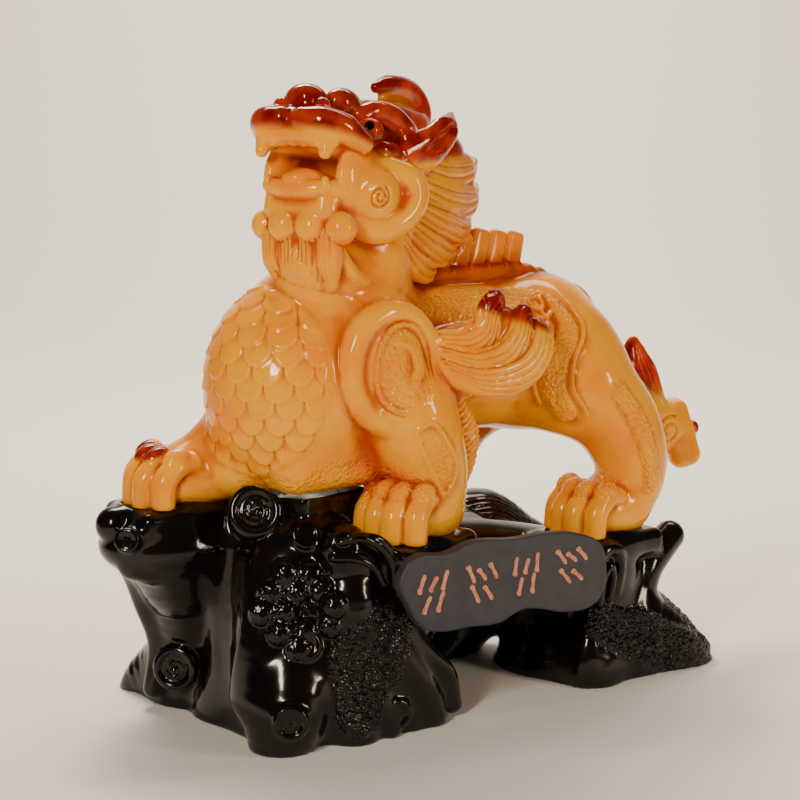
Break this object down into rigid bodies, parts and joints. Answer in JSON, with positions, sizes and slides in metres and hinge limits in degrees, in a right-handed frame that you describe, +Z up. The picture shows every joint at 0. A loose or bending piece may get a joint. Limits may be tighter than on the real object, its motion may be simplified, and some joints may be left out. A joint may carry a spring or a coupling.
{
  "type": "ornamental beast figure on a root base",
  "caption": "Winged mythical beast striding over a driftwood-shaped root base, head raised and mouth open, with a name plate on the front of the base.",
  "frame": {"origin": "on the table under the root base, at the centre of the bottom of the whole part's box", "axes": "+X from the head towards the tail, -Y towards the side with the name plate, +Z up"},
  "size_m": [0.4432, 0.1966, 0.3806],
  "materials": {
    "amber_resin": "gloss",
    "black_resin": "gloss",
    "red_stone": "polished"
  },
  "bodies": {
    "root": {"pixiu": "amber_resin", "root_base": "black_resin", "tail_gem": "red_stone"}
  },
  "joints": []
}
